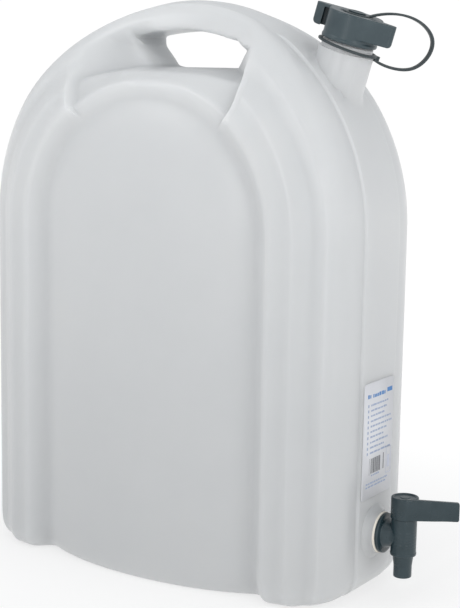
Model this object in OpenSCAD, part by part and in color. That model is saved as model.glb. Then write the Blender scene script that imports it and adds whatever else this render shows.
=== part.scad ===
// Flat blow-moulded water canister with a built-in handle, a tethered screw cap and a drain tap.
// Origin: centre of the base. X runs along the broad face, Y through the depth, Z up.
// The tap and the neck are on the +X side.

/* [Canister] */
// Width over the two narrow sides
body_w = 345; // [335:1:355]
// Height to the top of the handle
body_h = 460; // [450:1:475]
// Depth over the frames that surround the crowned panels
frame_depth = 157; // [150:1:165]
// Half width of the crowned panel, to the middle of its groove
panel_half_w = 103; // [99:1:105]
// Depth of the groove round the panel, below the frame
groove_depth = 9.5; // [8:0.5:12]
// How far the panel's crown stands out from its groove
crown_h = 16.5; // [12:0.5:19]
// Radius of the rounded edge under the frames
base_r = 15; // [12:0.5:18]
// Radius of the rounded edge under the narrow sides
side_base_r = 23; // [18:1:28]
// Height over which the grooves curve in to the base
groove_base_h = 34; // [28:1:40]
// Wall thickness of the moulding
wall = 2.6; // [2:0.1:3.2]
// Height of the raised strip on the narrow sides
strip_h = 1.8; // [0.8:0.1:2.4]
// Half width of the raised strip
strip_half_w = 27.5; // [26:0.5:29]

/* [Handle] */
// Thickness of the grip bar, measured radially
bar_t = 24; // [21:0.5:27]
// Half depth of the grip bar at the middle
bar_half_d = 29; // [25:0.5:33]
// Height of the hole under the grip
hole_h = 29; // [26:0.5:32]
// Half angle of the finger recess, from the middle of the arch
recess_half_angle = 36; // [34:0.5:38]

/* [Neck and cap] */
// Lean of the neck away from the handle
neck_tilt = 16.6; // [15:0.2:20]
// Outer diameter of the neck below the tether ring
neck_d = 43.1; // [42.6:0.1:45]
// Bore of the neck
neck_bore = 31.4; // [29:0.1:32]
// Outer diameter of the cap's round skirt
cap_d = 42; // [41.6:0.1:44]
// Width of the cap over its two wings
cap_wing_w = 61; // [58:0.5:66]
// Height of the cap
cap_h = 21.7; // [20:0.1:24]
// Height of the cap's wings
wing_h = 16.6; // [14:0.2:17.4]
// Width of the strap of the cap retainer
strap_w = 4.6; // [3.6:0.1:5.4]

/* [Tap] */
// Height of the tap's inlet above the base
tap_z = 51.5; // [47:0.5:58]
// How far the moulded seat of the tap stands out from the side
seat_l = 6.4; // [3:0.5:7]
// Diameter of the tap's flange
flange_d = 31.6; // [31:0.1:34]
// Outer diameter of the tap's upright barrel
barrel_d = 20.4; // [20:0.1:22]
// Diameter of the turning plug
plug_d = 13.9; // [13.3:0.1:14.3]
// Outer diameter of the spout at its tip
spout_d = 14.2; // [13:0.1:14.6]
// Length of the spout below the barrel
spout_l = 17.6; // [16:0.2:22]
// Reach of the lever from the barrel's axis
lever_l = 41; // [38:0.5:48]
// Height of the lever and its hub
lever_h = 16.9; // [15:0.1:18]
// Angle of the closed lever from the inlet's axis
lever_angle = 30; // [0:1:40]

/* [Label] */
// Width of the label
label_w = 49; // [36:0.5:51]
// Height of the label
label_h = 92; // [70:1:100]

/* [Hidden] */
$fn = 64;

// ---- canister: the section across one narrow side, out from the middle of the panel ----
half_w = body_w / 2;
// The arch rises this much more at its top than at its sides
arch_rise = 4.5;
arch_z = body_h - half_w - arch_rise;
frame_y = frame_depth / 2;
groove_y = frame_y - groove_depth;
side_s = half_w - strip_h;
// Corner between the narrow side and the sloping outer band of the frame
corner_r = 34;
corner_y = frame_y - 43.5;
corner_s = side_s - corner_r;
corner_angle = 52;
ridge_s = corner_s + corner_r * cos(corner_angle);
ridge_y = corner_y + corner_r * sin(corner_angle);
// Crease between the flat inner band and the sloping outer band
crease_s = half_w - 37.5;
crease_y = frame_y - 3.5;
// Groove round the panel: inner foot, outer foot and the top of its outer wall
foot_in_s = panel_half_w - 1;
foot_out_s = panel_half_w + 1.2;
wall_top_s = panel_half_w + 11;

function clamp01(t) = min(1, max(0, t));
function smooth(t) = let (c = clamp01(t)) c * c * (3 - 2 * c);
function mix(a, b, t) = a + (b - a) * t;

// Half depth of the body at a distance s from the middle, before the top is thinned
// The crown meets its groove more softly than an ellipse
crown_power = 0.72;
function crown_y(s) = groove_y + crown_h * pow(max(0, 1 - pow(s / foot_in_s, 2)), crown_power);
function groove_wall_y(s) = groove_y
    + groove_depth * sin(90 * clamp01((s - foot_out_s) / (wall_top_s - foot_out_s)));
function band_y(s) = s < crease_s
    ? mix(frame_y, crease_y, smooth((s - wall_top_s) / (crease_s - wall_top_s)))
    : mix(crease_y, ridge_y, (s - crease_s) / (ridge_s - crease_s));
function corner_arc_y(s) = corner_y
    + sqrt(max(0, corner_r * corner_r - pow(max(0, s - corner_s), 2)));
function leg_y(s) = s < foot_in_s ? crown_y(s)
    : s < foot_out_s ? groove_y
    : s < wall_top_s ? groove_wall_y(s)
    : s < ridge_s ? band_y(s)
    : corner_arc_y(s);

// ---- canister: how the arch changes towards its top; b is the angle from upright ----
// Angle where the thinning towards the grip starts
thin_angle = 56;
function thin(b) = mix(bar_half_d / ridge_y * 0.8, 1, smooth(abs(b) / thin_angle));
function thin_share(s) = smooth((s - wall_top_s) / (ridge_s - 8 - wall_top_s));
function thinned(s, y, b) = y * (1 - (1 - thin(b)) * thin_share(s));
function outline_r(b) = half_w + arch_rise * pow(cos(b), 2);
// The strip fades out before the grip
strip_end_angle = 31;
function strip_fade(b) = smooth((abs(b) - strip_end_angle) / 4);

// Finger recess: floor, lips of the shoulder, grip bar and the webs at its two ends
floor_z = body_h - bar_t - hole_h;
floor_r = floor_z - arch_z;
lip_r = wall_top_s;
lip_y = groove_y + 5;
bar_r = outline_r(0) - bar_t;
// A web's nose at the hole is half an ellipse in section, and the web widens from there
web_nose_y = 19;
web_tip_y = 5;
web_nose_b = 3.6;
web_left_nose = 15.2;
web_right_nose = 21.7;
web_left_y = 58;
web_right_y = 51;
function nose_y(t) = mix(web_tip_y, web_nose_y, sqrt(1 - pow(1 - clamp01(t), 2)));
// The web starts to widen inside its nose
web_spread_b = 2.2;
function web_part(b, nose, y) = let (from = nose + web_spread_b)
    nose_y((b - nose) / web_nose_b) + (y - web_nose_y) * clamp01((b - from) / (recess_half_angle - from));
function web_y(b) = b < 0
    ? web_part(-b, web_left_nose, web_left_y)
    : web_part(b, web_right_nose, web_right_y);
// The outer lip is flatter than the arch
function outer_lip_r(b) = (floor_r - 1 - 7 * pow(tan(b) / tan(30), 2)) / cos(b);
function shoulder_y(s, b) = s < lip_r
    ? mix(groove_y, lip_y, sin(90 * clamp01((s - foot_out_s) / (lip_r - 4 - foot_out_s))))
    : let (t = (s - lip_r) / (outer_lip_r(b) - lip_r))
      t < 0.2 ? mix(lip_y, lip_y - 6, smooth(t / 0.2))
      : t < 1 ? mix(lip_y - 6, lip_y - 19, (t - 0.2) / 0.8)
      : 0;
// The grip bar's inner edges are rounded over this much
bar_round = 9;
function bar_edge(s) = sqrt(1 - pow(1 - clamp01((s - bar_r) / bar_round), 2));
function bar_y(s, b) = s < bar_r ? 0
    : mix(0.45, 1, bar_edge(s)) * bar_half_d * 0.82 / thin(0) * thin(b);
function recess_y(s, b) = max(web_y(b), shoulder_y(s, b), bar_y(s, b));
function in_recess(b) = abs(b) < recess_half_angle - 0.2;
// Half depth of the finished outer surface
function outer_y(s, b) = let (y = thinned(s, leg_y(s), b))
    in_recess(b) && s > foot_out_s ? min(y, recess_y(s, b)) : y;

// How far the recess's ends and the webs' noses are turned, next to the panel and next to the grip
turn_at_panel = [[-60, 0], [-36, -3.4], [-15.2, 4.6], [0, 0], [21.7, -2.2], [36, 4.6], [60, 0]];
turn_at_grip = [[-60, 0], [-36, 0.3], [-15.2, -1.6], [0, 0], [21.7, 0], [36, 1], [60, 0]];
turn_span = 45;
function turned(s, b) = b
    + mix(lookup(b, turn_at_panel), lookup(b, turn_at_grip), smooth((s - lip_r) / turn_span));

// Stations from the middle of the panel out to the groove, over the frame and round to the side
crown_steps = [90, 74, 58, 43, 30, 19, 9, 0];
function frame_s(b) = concat([foot_out_s, foot_out_s + 2, foot_out_s + 4.5],
    in_recess(b)
        ? concat([lip_r - 1], [for (t = [0.12, 0.3, 0.65, 0.93, 1]) mix(lip_r, outer_lip_r(b), t)],
                 [outer_lip_r(b) + 0.5, mix(outer_lip_r(b), bar_r, 0.5)],
                 [bar_r - 0.3, bar_r + 0.4, bar_r + 3])
        : [wall_top_s, lip_r + 2, lip_r + 6, lip_r + 11, lip_r + 16, crease_s, crease_s + 5,
           crease_s + 10, mix(crease_s, bar_r, 0.8), bar_r, bar_r + 2]);
corner_steps = [52, 42, 32, 21, 10, 0];
// Points [s, y] of one quarter section at angle b, from the panel's middle to the side
function quarter(b) = concat(
    [for (a = crown_steps) let (s = foot_in_s * cos(a)) [s, crown_y(s)]],
    [for (s = frame_s(b)) [s, outer_y(s, b)]],
    [for (a = corner_steps) let (s = corner_s + corner_r * cos(a), y = corner_y + corner_r * sin(a))
        [s, min(thinned(s, y, b), in_recess(b) ? recess_y(s, b) : y)]],
    [[side_s + 0.2, thinned(side_s, strip_half_w + 1.2, b)],
     [side_s + 0.2 - 0.6 * strip_fade(b), thinned(side_s, strip_half_w + 0.4, b)],
     [mix(side_s + 0.3, half_w, strip_fade(b)), thinned(side_s, strip_half_w - 0.8, b)],
     [mix(side_s, half_w, max(strip_fade(b), 0.7)), thinned(side_s, strip_half_w / 2, b)],
     [half_w, 0]]);

// Base: the section draws in over the rounded edge, by in_s at height 0 and by nothing from up_z
function drawn_in(z, in_s, up_z) = z >= up_z ? 0
    : in_s * (1 - sqrt(max(0, 1 - pow(1 - max(z, 0) / up_z, 2))));
// How far in, and from how high up, the base draws each part of the section
groove_base_in = 20;
panel_base_in = 8;
panel_base_h = 24;
// 0 in the middle of the panel, 1 at its groove
function off_panel(s) = pow(clamp01(s / foot_in_s), 2.5);
// 0 in the groove, 1 on the frame
function on_frame(s) = smooth((s - foot_out_s) / (wall_top_s + 6 - foot_out_s));
function base_in(s) = mix(mix(panel_base_in, groove_base_in, off_panel(s)), base_r, on_frame(s));
function base_up(s) = mix(mix(panel_base_h, groove_base_h, off_panel(s)), base_r, on_frame(s));
// 0 on the panel, 1 at the narrow side
function side_share(s) = clamp01((s - crease_s) / (half_w - crease_s));
// The foot draws in a little more towards its corners
foot_draw = 0.01;
function base_pull(p, z) = let (in_x = drawn_in(z, side_base_r, side_base_r) * side_share(p[0]))
    [p[0] - in_x - (z < base_r / 2 ? p[1] * foot_draw : 0),
     p[1] * (1 - drawn_in(z, base_in(p[0]), base_up(p[0])) / frame_y)];
leg_z = concat([-2], [for (t = [0.012, 0.05, 0.12, 0.22, 0.36, 0.58, 1]) groove_base_h * t], [arch_z]);
arch_angles = concat([for (b = [82.5:-7.5:45]) b], [41, 38, recess_half_angle, recess_half_angle - 1.2],
                     [for (b = [31.5:-3.5:3.5]) b]);
arch_b = concat(arch_angles, [0], [for (i = [len(arch_angles) - 1:-1:0]) -arch_angles[i]]);

function arch_point(s, y, b) = let (a = turned(s, b)) [s * sin(a), y, arch_z + s * cos(a)];

// Closed surface from level rings up to the arch's centre and half sections turned over the arch
module arch_solid(leg_quarters, arch_quarters, levels, angles) {
    k = len(leg_quarters[0]) - 1;
    n = 4 * k;
    ring = function (q, z) concat(
        [for (i = [0:k]) [q[i][0], -q[i][1], z]],
        [for (i = [k - 1:-1:0]) [q[i][0], q[i][1], z]],
        [for (i = [1:k]) [-q[i][0], q[i][1], z]],
        [for (i = [k - 1:-1:1]) [-q[i][0], -q[i][1], z]]);
    half = function (q, b) concat(
        [for (i = [1:k]) arch_point(q[i][0], -q[i][1], b)],
        [for (i = [k - 1:-1:1]) arch_point(q[i][0], q[i][1], b)]);
    l = len(levels);
    m = len(angles) + 1;
    points = concat([for (j = [0:l - 1]) each ring(leg_quarters[j], levels[j])],
                    [for (j = [0:len(angles) - 1]) each half(arch_quarters[j], angles[j])]);
    top = (l - 1) * n;
    at = function (j, i) i == 0 ? top
        : i == 2 * k ? top + 2 * k
        : j == 0 ? top + i
        : j == m ? top + (n - i) % n
        : l * n + (j - 1) * (2 * k - 1) + i - 1;
    base = [for (i = [0:k - 1]) each [[i, i + 1, 2 * k - i - 1], [i, 2 * k - i - 1, 2 * k - i]]];
    base_left = [for (i = [0:k - 1]) each [
        [2 * k + i, 2 * k + i + 1, (n - i - 1) % n], [2 * k + i, (n - i - 1) % n, (n - i) % n]]];
    legs = [for (j = [0:l - 2], i = [0:n - 1]) let (a = j * n + i, c = j * n + (i + 1) % n)
        each [[a, a + n, c + n], [a, c + n, c]]];
    arch = [for (j = [0:m - 1], i = [0:2 * k - 1])
        let (a = at(j, i), c = at(j, i + 1), d = at(j + 1, i + 1), e = at(j + 1, i))
        each (i == 0 ? [[a, d, c]] : i == 2 * k - 1 ? [[a, e, c]] : [[a, e, d], [a, d, c]])];
    polyhedron(points, concat(base, base_left, legs, arch), convexity = 8);
}

// The outer 20 mm of a section at angle b, moved out to the arch's outline
function raised(q, b) = [for (p = q)
    [p[0] * mix(1, outline_r(b) / half_w, clamp01((p[0] - bar_r) / 20)), p[1]]];

module outer_shell() {
    arch_solid([for (z = leg_z) [for (p = quarter(90)) base_pull(p, z)]],
               [for (b = arch_b) raised(quarter(b), b)], leg_z, arch_b);
}

// ---- canister: the hollow inside ----
cavity_side = half_w - wall - strip_h / 2;
cavity_corner_r = corner_r - wall;
cavity_corner_steps = [52, 35, 17, 0];
function cavity_top_r(b) = mix((floor_r - wall - 0.6) / cos(min(abs(b), 50)), cavity_side,
                               smooth((abs(b) - 24) / 16));
// Wall across the slope of the surface, measured along Y
function wall_y(s) = wall * (s < foot_in_s - 14 ? 1.03 : s < wall_top_s ? 1.35 : 1.08);
function cavity_leg(s) = leg_y(s) - wall_y(s);
cavity_s = concat([for (a = [90, 62, 40, 22]) foot_in_s * cos(a)],
                  [foot_in_s - 2, foot_out_s + 1.5, wall_top_s, wall_top_s + 6],
                  [mix(wall_top_s + 6, crease_s, 0.6), crease_s, crease_s + 6, crease_s + 13]);
cavity_leg_quarter = concat([for (s = cavity_s) [s, cavity_leg(s)]],
    [for (a = cavity_corner_steps)
        [cavity_side - cavity_corner_r * (1 - cos(a)), corner_y + cavity_corner_r * sin(a) - 0.4]],
    [[cavity_side + 0.2, corner_y / 2], [cavity_side + 0.3, 0]]);
// The least half depth near a place on the arch, so that the wall keeps its thickness at every step
function least_y(s, b) = min([for (ds = [-4, 0, 4], db = [-4.6, 0, 4.6])
    outer_y(max(s + ds, foot_out_s + 1), b + db)]);
// Stations beyond fan_s draw in under the finger hole
fan_s = wall_top_s - 6;
function fan(s, b) = s <= fan_s ? s
    : mix(fan_s, cavity_top_r(b), (s - fan_s) / (cavity_side + 0.3 - fan_s));
function cavity_y(s, y, b) = y <= 0 ? 0
    : min(y * mix(1, thin(b), thin_share(s)), least_y(s, b) - wall - 0.4);
function cavity_quarter(b) = [for (p = cavity_leg_quarter)
    let (s = fan(p[0], b)) [s, cavity_y(s, p[1], b)]];
cavity_z = concat([for (t = [0, 0.03, 0.12, 0.28, 0.52, 0.8, 1.05]) wall + groove_base_h * t], [arch_z]);
cavity_half_b = [78, 66, 54, 46, 41, 37, 33, 29, 25, 21, 17, 13, 8, 4];
cavity_b = concat(cavity_half_b, [0], [for (i = [len(cavity_half_b) - 1:-1:0]) -cavity_half_b[i]]);
function cavity_pull(p, z) = base_pull(p, max(z - wall, 0) * 0.97);

module cavity() {
    arch_solid([for (z = cavity_z) [for (p = cavity_leg_quarter) cavity_pull(p, z)]],
               [for (b = cavity_b) cavity_quarter(b)], cavity_z, cavity_b);
}

// Hollow of the grip, open to the shoulders at both ends
module grip_duct() {
    mid_r = outline_r(0) - bar_t / 2 + 0.6;
    r = bar_t / 2 - wall - 1.8;
    translate([0, 0, arch_z]) rotate([90, 0, 0])
        rotate_extrude(angle = 84, start = 48)
            polygon([for (p = [[-1, -0.9], [-0.2, -1.5], [0.5, -1.3], [1, -0.7],
                               [1, 0.7], [0.5, 1.3], [-0.2, 1.5], [-1, 0.9]])
                     [mid_r + r * p[0], r * p[1]]]);
}

// Through hole for the fingers, from one web's nose to the other's
module finger_hole() {
    round_r = 2.5;
    arc_steps = 12;
    // The hole's top is flatter than the arch, so its corners are higher
    corner_rise = 3;
    rim = function (s, b) let (p = arch_point(s, 0, b)) [p[0], p[2]];
    side = function (nose) [for (t = [1:-0.25:0])
        rim(mix(floor_r / cos(nose), bar_r + corner_rise, t), nose)];
    top = [for (i = [0:arc_steps]) let (t = i / arc_steps)
        rim(bar_r + corner_rise * pow(2 * t - 1, 2), mix(-web_left_nose, web_right_nose, t))];
    left = side(-web_left_nose);
    right = side(web_right_nose);
    foot = [[right[len(right) - 1][0], floor_z], [left[len(left) - 1][0], floor_z]];
    translate([0, frame_depth / 2, 0]) rotate([90, 0, 0])
        linear_extrude(frame_depth)
            offset(r = round_r, $fn = 32) offset(delta = -round_r)
                polygon(concat(top, [for (i = [1:len(right) - 2]) right[i]], foot,
                               [for (i = [len(left) - 2:-1:1]) left[i]]));
}

// ---- neck: everything on its leaning axis is drawn upright and then placed ----
neck_angle = 48.07;
neck_x = half_w * sin(neck_angle);
neck_z = arch_z + half_w * cos(neck_angle);
module on_neck() translate([neck_x, 0, neck_z]) rotate([0, neck_tilt, 0]) children();
// Directions of the cap's wings and of the strap, round the neck
cap_turn = 30;
strap_turn = 33;

ring_z = 24.3;
ring_h = 1.9;
ring_t = 2.6;
// The loose ring hangs down on the strap's side by this angle
ring_tilt = 4.4;
ring_bore = neck_d - 1.4;
cap_z = ring_z + 6.7;
cap_top = cap_z + cap_h;
cap_top_t = 2.6;
seal_t = 1.6;
neck_top = cap_top - cap_top_t - seal_t;
collar_d = ring_bore - 2;
neck_core_d = cap_d - 6.8;
module neck_outside() {
    on_neck() rotate_extrude($fn = 96)
        polygon([[0, -34], [neck_d / 2 + 1.4, -34], [neck_d / 2 + 0.9, 0], [neck_d / 2 + 0.3, 8],
                 [neck_d / 2, 13], [neck_d / 2, ring_z - 0.5], [neck_d / 2 - 0.5, ring_z],
                 [collar_d / 2, ring_z], [collar_d / 2, cap_z - 1.6],
                 [collar_d / 2 - 1, cap_z - 0.6], [neck_core_d / 2, cap_z - 0.6],
                 [neck_core_d / 2, neck_top - 1], [neck_core_d / 2 - 1, neck_top], [0, neck_top]]);
}
module neck_hole() {
    on_neck() translate([0, 0, -40]) cylinder(h = neck_top + 60, d = neck_bore, $fn = 96);
}

// ---- boss for the tap: a thick ring inside the wall and a round seat outside ----
boss_d = 30;
boss_l = 10;
seat_d = 34;
// The seat reaches this far into the wall
seat_root = 1.5;
tail_d = 19.6;
tail_fit = 0.1;
module tap_boss() {
    translate([half_w - boss_l, 0, tap_z]) rotate([0, 90, 0]) cylinder(h = boss_l, d = boss_d);
    seat_top = seat_l + seat_root;
    translate([half_w - seat_root, 0, tap_z]) rotate([0, 90, 0]) rotate_extrude()
        polygon([[0, 0], [seat_d / 2 + 4, 0], [seat_d / 2 + 3.6, 1.6], [seat_d / 2 + 1.8, 2.6],
                 [seat_d / 2 + 0.6, 4.4], [seat_d / 2, 6.4],
                 [seat_d / 2, seat_top - 0.8], [seat_d / 2 - 0.8, seat_top], [0, seat_top]]);
}
module tap_boss_hole() {
    translate([half_w - boss_l - 8, 0, tap_z]) rotate([0, 90, 0])
        cylinder(h = boss_l + 20, d = tail_d + 2 * tail_fit);
}

module canister_body() {
    color("whitesmoke") difference() {
        union() {
            difference() {
                union() {
                    outer_shell();
                    neck_outside();
                }
                cavity();
                grip_duct();
            }
            tap_boss();
        }
        finger_hole();
        neck_hole();
        tap_boss_hole();
        // Everything under the plane of the base
        translate([-body_w, -frame_depth, -base_r]) cube([2 * body_w, 2 * frame_depth, base_r]);
    }
}

// ---- screw cap ----
cap_bore = cap_d - 4.4;
bead_h = 3;
stud_d = 12.6;
end_ring_t = 1.6;
// The end ring lies in a shallow dish in the cap's top
dish_d = 25;
dish_h = 1;
dish_z = cap_top - dish_h;
stud_z = dish_z + end_ring_t + 0.2;
stud_lip = 0.8;
// One wing: flush with the skirt on one side and tapering to a rounded end
module wing() {
    r = cap_d / 2;
    translate([0, 0, cap_top - wing_h]) linear_extrude(wing_h) hull($fn = 32) {
        translate([0, 7 - r]) circle(r = 7);
        translate([cap_wing_w / 2 - 3.4, 4.2 - r]) circle(r = 3.4);
        translate([6, -7]) circle(r = 6);
    }
}
module screw_cap() {
    color("darkslategray") on_neck() difference() {
        union() {
            rotate_extrude($fn = 96)
                polygon([[0, cap_z], [cap_d / 2 + 0.1, cap_z], [cap_d / 2 + 0.7, cap_z + 0.6],
                         [cap_d / 2 + 0.7, cap_z + bead_h - 0.8], [cap_d / 2, cap_z + bead_h],
                         [cap_d / 2, cap_top - 0.8], [cap_d / 2 - 0.8, cap_top], [0, cap_top]]);
            for (a = [0, 180]) rotate([0, 0, cap_turn + a]) wing();
        }
        difference() {
            translate([0, 0, dish_z]) cylinder(h = dish_h + 1, d1 = dish_d, d2 = dish_d + 2, $fn = 96);
            translate([0, 0, dish_z - 1]) cylinder(h = dish_h + 3, d = stud_d);
        }
        translate([0, 0, cap_z - 1]) cylinder(h = cap_h - cap_top_t + 1, d = cap_bore, $fn = 96);
    }
    color("darkslategray") on_neck() rotate_extrude()
        polygon([[0, dish_z - 0.5], [stud_d / 2, dish_z - 0.5], [stud_d / 2, stud_z],
                 [stud_d / 2 + 0.9, stud_z], [stud_d / 2 + 0.4, stud_z + stud_lip],
                 [0, stud_z + stud_lip]]);
}

module cap_seal() {
    color("gainsboro") on_neck() translate([0, 0, neck_top])
        cylinder(h = seal_t, d = cap_bore - 0.4, $fn = 96);
}

// ---- retaining strap: neck ring, strap and the ring on the cap, moulded in one ----
strap_t = 1.8;
// Control points of the strap's middle line: distance from the neck's axis, height along it
strap_route = [[ring_bore / 2 + 2.2, ring_z - 1.6], [30, ring_z - 4.6], [44.5, ring_z - 5.3],
               [52.1, ring_z - 0.2], [60.5, ring_z + 5.4], [65, ring_z + 18.7], [58.5, cap_top - 1.5],
               [51.4, cap_top + 7.5], [32, cap_top + 13.3], [9, cap_top - 0.2]];
function bezier(p, t) = pow(1 - t, 3) * p[0] + 3 * pow(1 - t, 2) * t * p[1]
    + 3 * (1 - t) * t * t * p[2] + pow(t, 3) * p[3];
strap_steps = 9;
strap_line = concat([for (j = [0:2], i = [0:strap_steps - 1])
    bezier([for (k = [0:3]) strap_route[3 * j + k]], i / strap_steps)], [strap_route[9]]);
function side_of(line, i, d) = let (a = line[max(i - 1, 0)], c = line[min(i + 1, len(line) - 1)],
    v = (c - a) / norm(c - a)) line[i] + d * [-v[1], v[0]];
// The ring rests on the neck's ledge with its strap side
module on_ring() translate([0, 0, ring_z + (ring_bore / 2 + ring_t) * sin(ring_tilt) + 0.15])
    rotate([0, 0, strap_turn]) rotate([0, ring_tilt, 0]) children();
end_ring_bore = stud_d + 0.5;
end_ring_d = 21;
module strap_band() {
    last = len(strap_line) - 1;
    rotate([90, 0, 0]) translate([0, 0, -strap_w / 2]) linear_extrude(strap_w)
        polygon(concat([for (i = [0:last]) side_of(strap_line, i, strap_t / 2)],
                       [for (i = [last:-1:0]) side_of(strap_line, i, -strap_t / 2)]));
}
module retaining_strap() {
    color("darkslategray") on_neck() difference() {
        union() {
            on_ring() cylinder(h = ring_h, d = ring_bore + 2 * ring_t, $fn = 96);
            rotate([0, 0, strap_turn]) strap_band();
            on_ring() translate([ring_bore / 2 + 1.3, -2.6, -3.4]) cube([1.9, 5.2, ring_h + 5]);
            translate([0, 0, dish_z]) cylinder(h = end_ring_t, d = end_ring_d);
        }
        on_ring() translate([0, 0, -2]) cylinder(h = ring_h + 5, d = ring_bore, $fn = 96);
        translate([0, 0, dish_z - 1]) cylinder(h = 4, d = end_ring_bore);
        translate([0, 0, dish_z - 3]) cylinder(h = 3, d = dish_d);
    }
}

// ---- tap ----
washer_t = 1.6;
washer_d = flange_d + 0.8;
flange_t = 3;
flange_x = half_w + seat_l + washer_t;
tap_x = flange_x + flange_t + 14.6;
barrel_z = tap_z - 14.4;
barrel_top = tap_z + 15.1;
spout_z = barrel_z - spout_l;
bore_d = plug_d + 0.1;
plug_floor = barrel_z + 1.8;
flow_d = 8.6;
port_d = flow_d - 0.8;
// The spout's tip is straight over this length
straight_l = 9;
snap_z = barrel_top - 2.4;
module on_inlet(x) translate([x, 0, tap_z]) rotate([0, 90, 0]) children();

module tap_washer() {
    color("black") on_inlet(flange_x - washer_t) difference() {
        cylinder(h = washer_t, d = washer_d);
        translate([0, 0, -1]) cylinder(h = washer_t + 2, d = tail_d + 0.8);
    }
}

module tap_housing() {
    tail_l = washer_t + seat_l + boss_l + 2;
    neck_l = tap_x - flange_x;
    color("darkslategray") difference() {
        union() {
            on_inlet(flange_x) rotate_extrude()
                polygon([[0, -tail_l], [tail_d / 2 - 0.8, -tail_l],
                         [tail_d / 2, -tail_l + 0.8], [tail_d / 2, 0],
                         [flange_d / 2 - 0.7, 0], [flange_d / 2, 0.7], [flange_d / 2, flange_t - 1.2],
                         [flange_d / 2 - 1.2, flange_t - 0.2], [flange_d / 2 - 4, flange_t],
                         [flange_d / 2 - 4.4, flange_t + 0.6], [barrel_d / 2 - 1, neck_l - 8],
                         [barrel_d / 2 - 1, neck_l - 2], [0, neck_l - 2]]);
            translate([tap_x, 0, 0]) rotate_extrude()
                polygon([[0, spout_z], [spout_d / 2 - 0.7, spout_z], [spout_d / 2, spout_z + 0.7],
                         [spout_d / 2, spout_z + straight_l],
                         [spout_d / 2 + 1.1, barrel_z], [barrel_d / 2 - 1, barrel_z],
                         [barrel_d / 2, barrel_z + 1], [barrel_d / 2, barrel_top - 0.4],
                         [barrel_d / 2 - 0.4, barrel_top], [0, barrel_top]]);
        }
        on_inlet(flange_x - tail_l - 1) cylinder(h = tail_l + neck_l + 1, d = flow_d);
        translate([tap_x, 0, plug_floor]) cylinder(h = 60, d = bore_d);
        translate([tap_x, 0, spout_z - 1]) cylinder(h = 40, d = flow_d);
        translate([tap_x, 0, snap_z - 0.15]) cylinder(h = 1.5, d = bore_d + 1.1);
    }
}

hub_d = barrel_d + 1;
hub_gap = 0.1;
hub_z = barrel_top + hub_gap;
hub_top = hub_z + lever_h;
lever_t = 4;
o_ring_t = 1.5;
o_ring_zs = [barrel_z + 4.6, tap_z + 7.5];
o_ring_r = bore_d / 2 - 0.03 - o_ring_t / 2;
groove_h = o_ring_t + 0.3;
// Lever: a plate flush with one side of the hub, a little lower and hollowed for the thumb at its end
module lever_plate() {
    dish_r = 62;
    inset = 0.25;
    rotate([0, 0, lever_angle]) translate([0, inset - hub_d / 2, hub_z + inset]) difference() {
        rotate([90, 0, 0]) mirror([0, 0, 1]) linear_extrude(lever_t)
            polygon([[0, 0], [lever_l - 2, 0.4], [lever_l - 0.6, 1], [lever_l, 2.4],
                     [lever_l, lever_h - 3.4], [lever_l - 0.6, lever_h - 2.2],
                     [lever_l - 2, lever_h - 1.6], [hub_d / 2, lever_h - 0.4], [0, lever_h - 0.4]]);
        translate([lever_l - 11, 1 - dish_r, -1]) cylinder(h = lever_h + 2, r = dish_r, $fn = 180);
    }
}
module tap_plug() {
    color("darkslategray") translate([tap_x, 0, 0]) difference() {
        union() {
            translate([0, 0, plug_floor + hub_gap]) cylinder(h = hub_z + 2 - plug_floor, d = plug_d);
            translate([0, 0, snap_z]) cylinder(h = 1.2, d = plug_d + 1);
            rotate_extrude()
                polygon([[0, hub_z], [hub_d / 2, hub_z], [hub_d / 2, hub_top - 1.2],
                         [hub_d / 2 - 0.4, hub_top - 0.4], [hub_d / 2 - 1.2, hub_top],
                         [hub_d / 2 - 2.6, hub_top], [hub_d / 2 - 3, hub_top - 0.8],
                         [0, hub_top - 0.8]]);
            lever_plate();
        }
        translate([0, 0, plug_floor - 1]) cylinder(h = tap_z + flow_d / 2 + 1 - plug_floor, d = flow_d);
        translate([0, 0, tap_z]) rotate([90, 0, 0]) cylinder(h = plug_d, d = port_d);
        for (z = o_ring_zs) translate([0, 0, z - groove_h / 2]) difference() {
            cylinder(h = groove_h, d = plug_d + 1);
            translate([0, 0, -1]) cylinder(h = groove_h + 2, r = o_ring_r - o_ring_t / 2 - 0.02);
        }
    }
}
module plug_o_ring(i) {
    color("black") translate([tap_x, 0, o_ring_zs[i]])
        rotate_extrude() translate([o_ring_r, 0]) circle(d = o_ring_t, $fn = 24);
}

// ---- label on the raised strip ----
label_t = 0.2;
label_z = 80;
module label() {
    color("aliceblue") translate([half_w, -label_w / 2 + 0.5, label_z]) cube([label_t, label_w, label_h]);
}

canister_body();
screw_cap();
cap_seal();
retaining_strap();
tap_housing();
tap_washer();
tap_plug();
plug_o_ring(1);  // plug_o_ring_upper
plug_o_ring(0);  // plug_o_ring_lower
label();
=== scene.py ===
import math

import bpy
import bmesh
import numpy as np
from mathutils import Matrix, Vector


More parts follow.
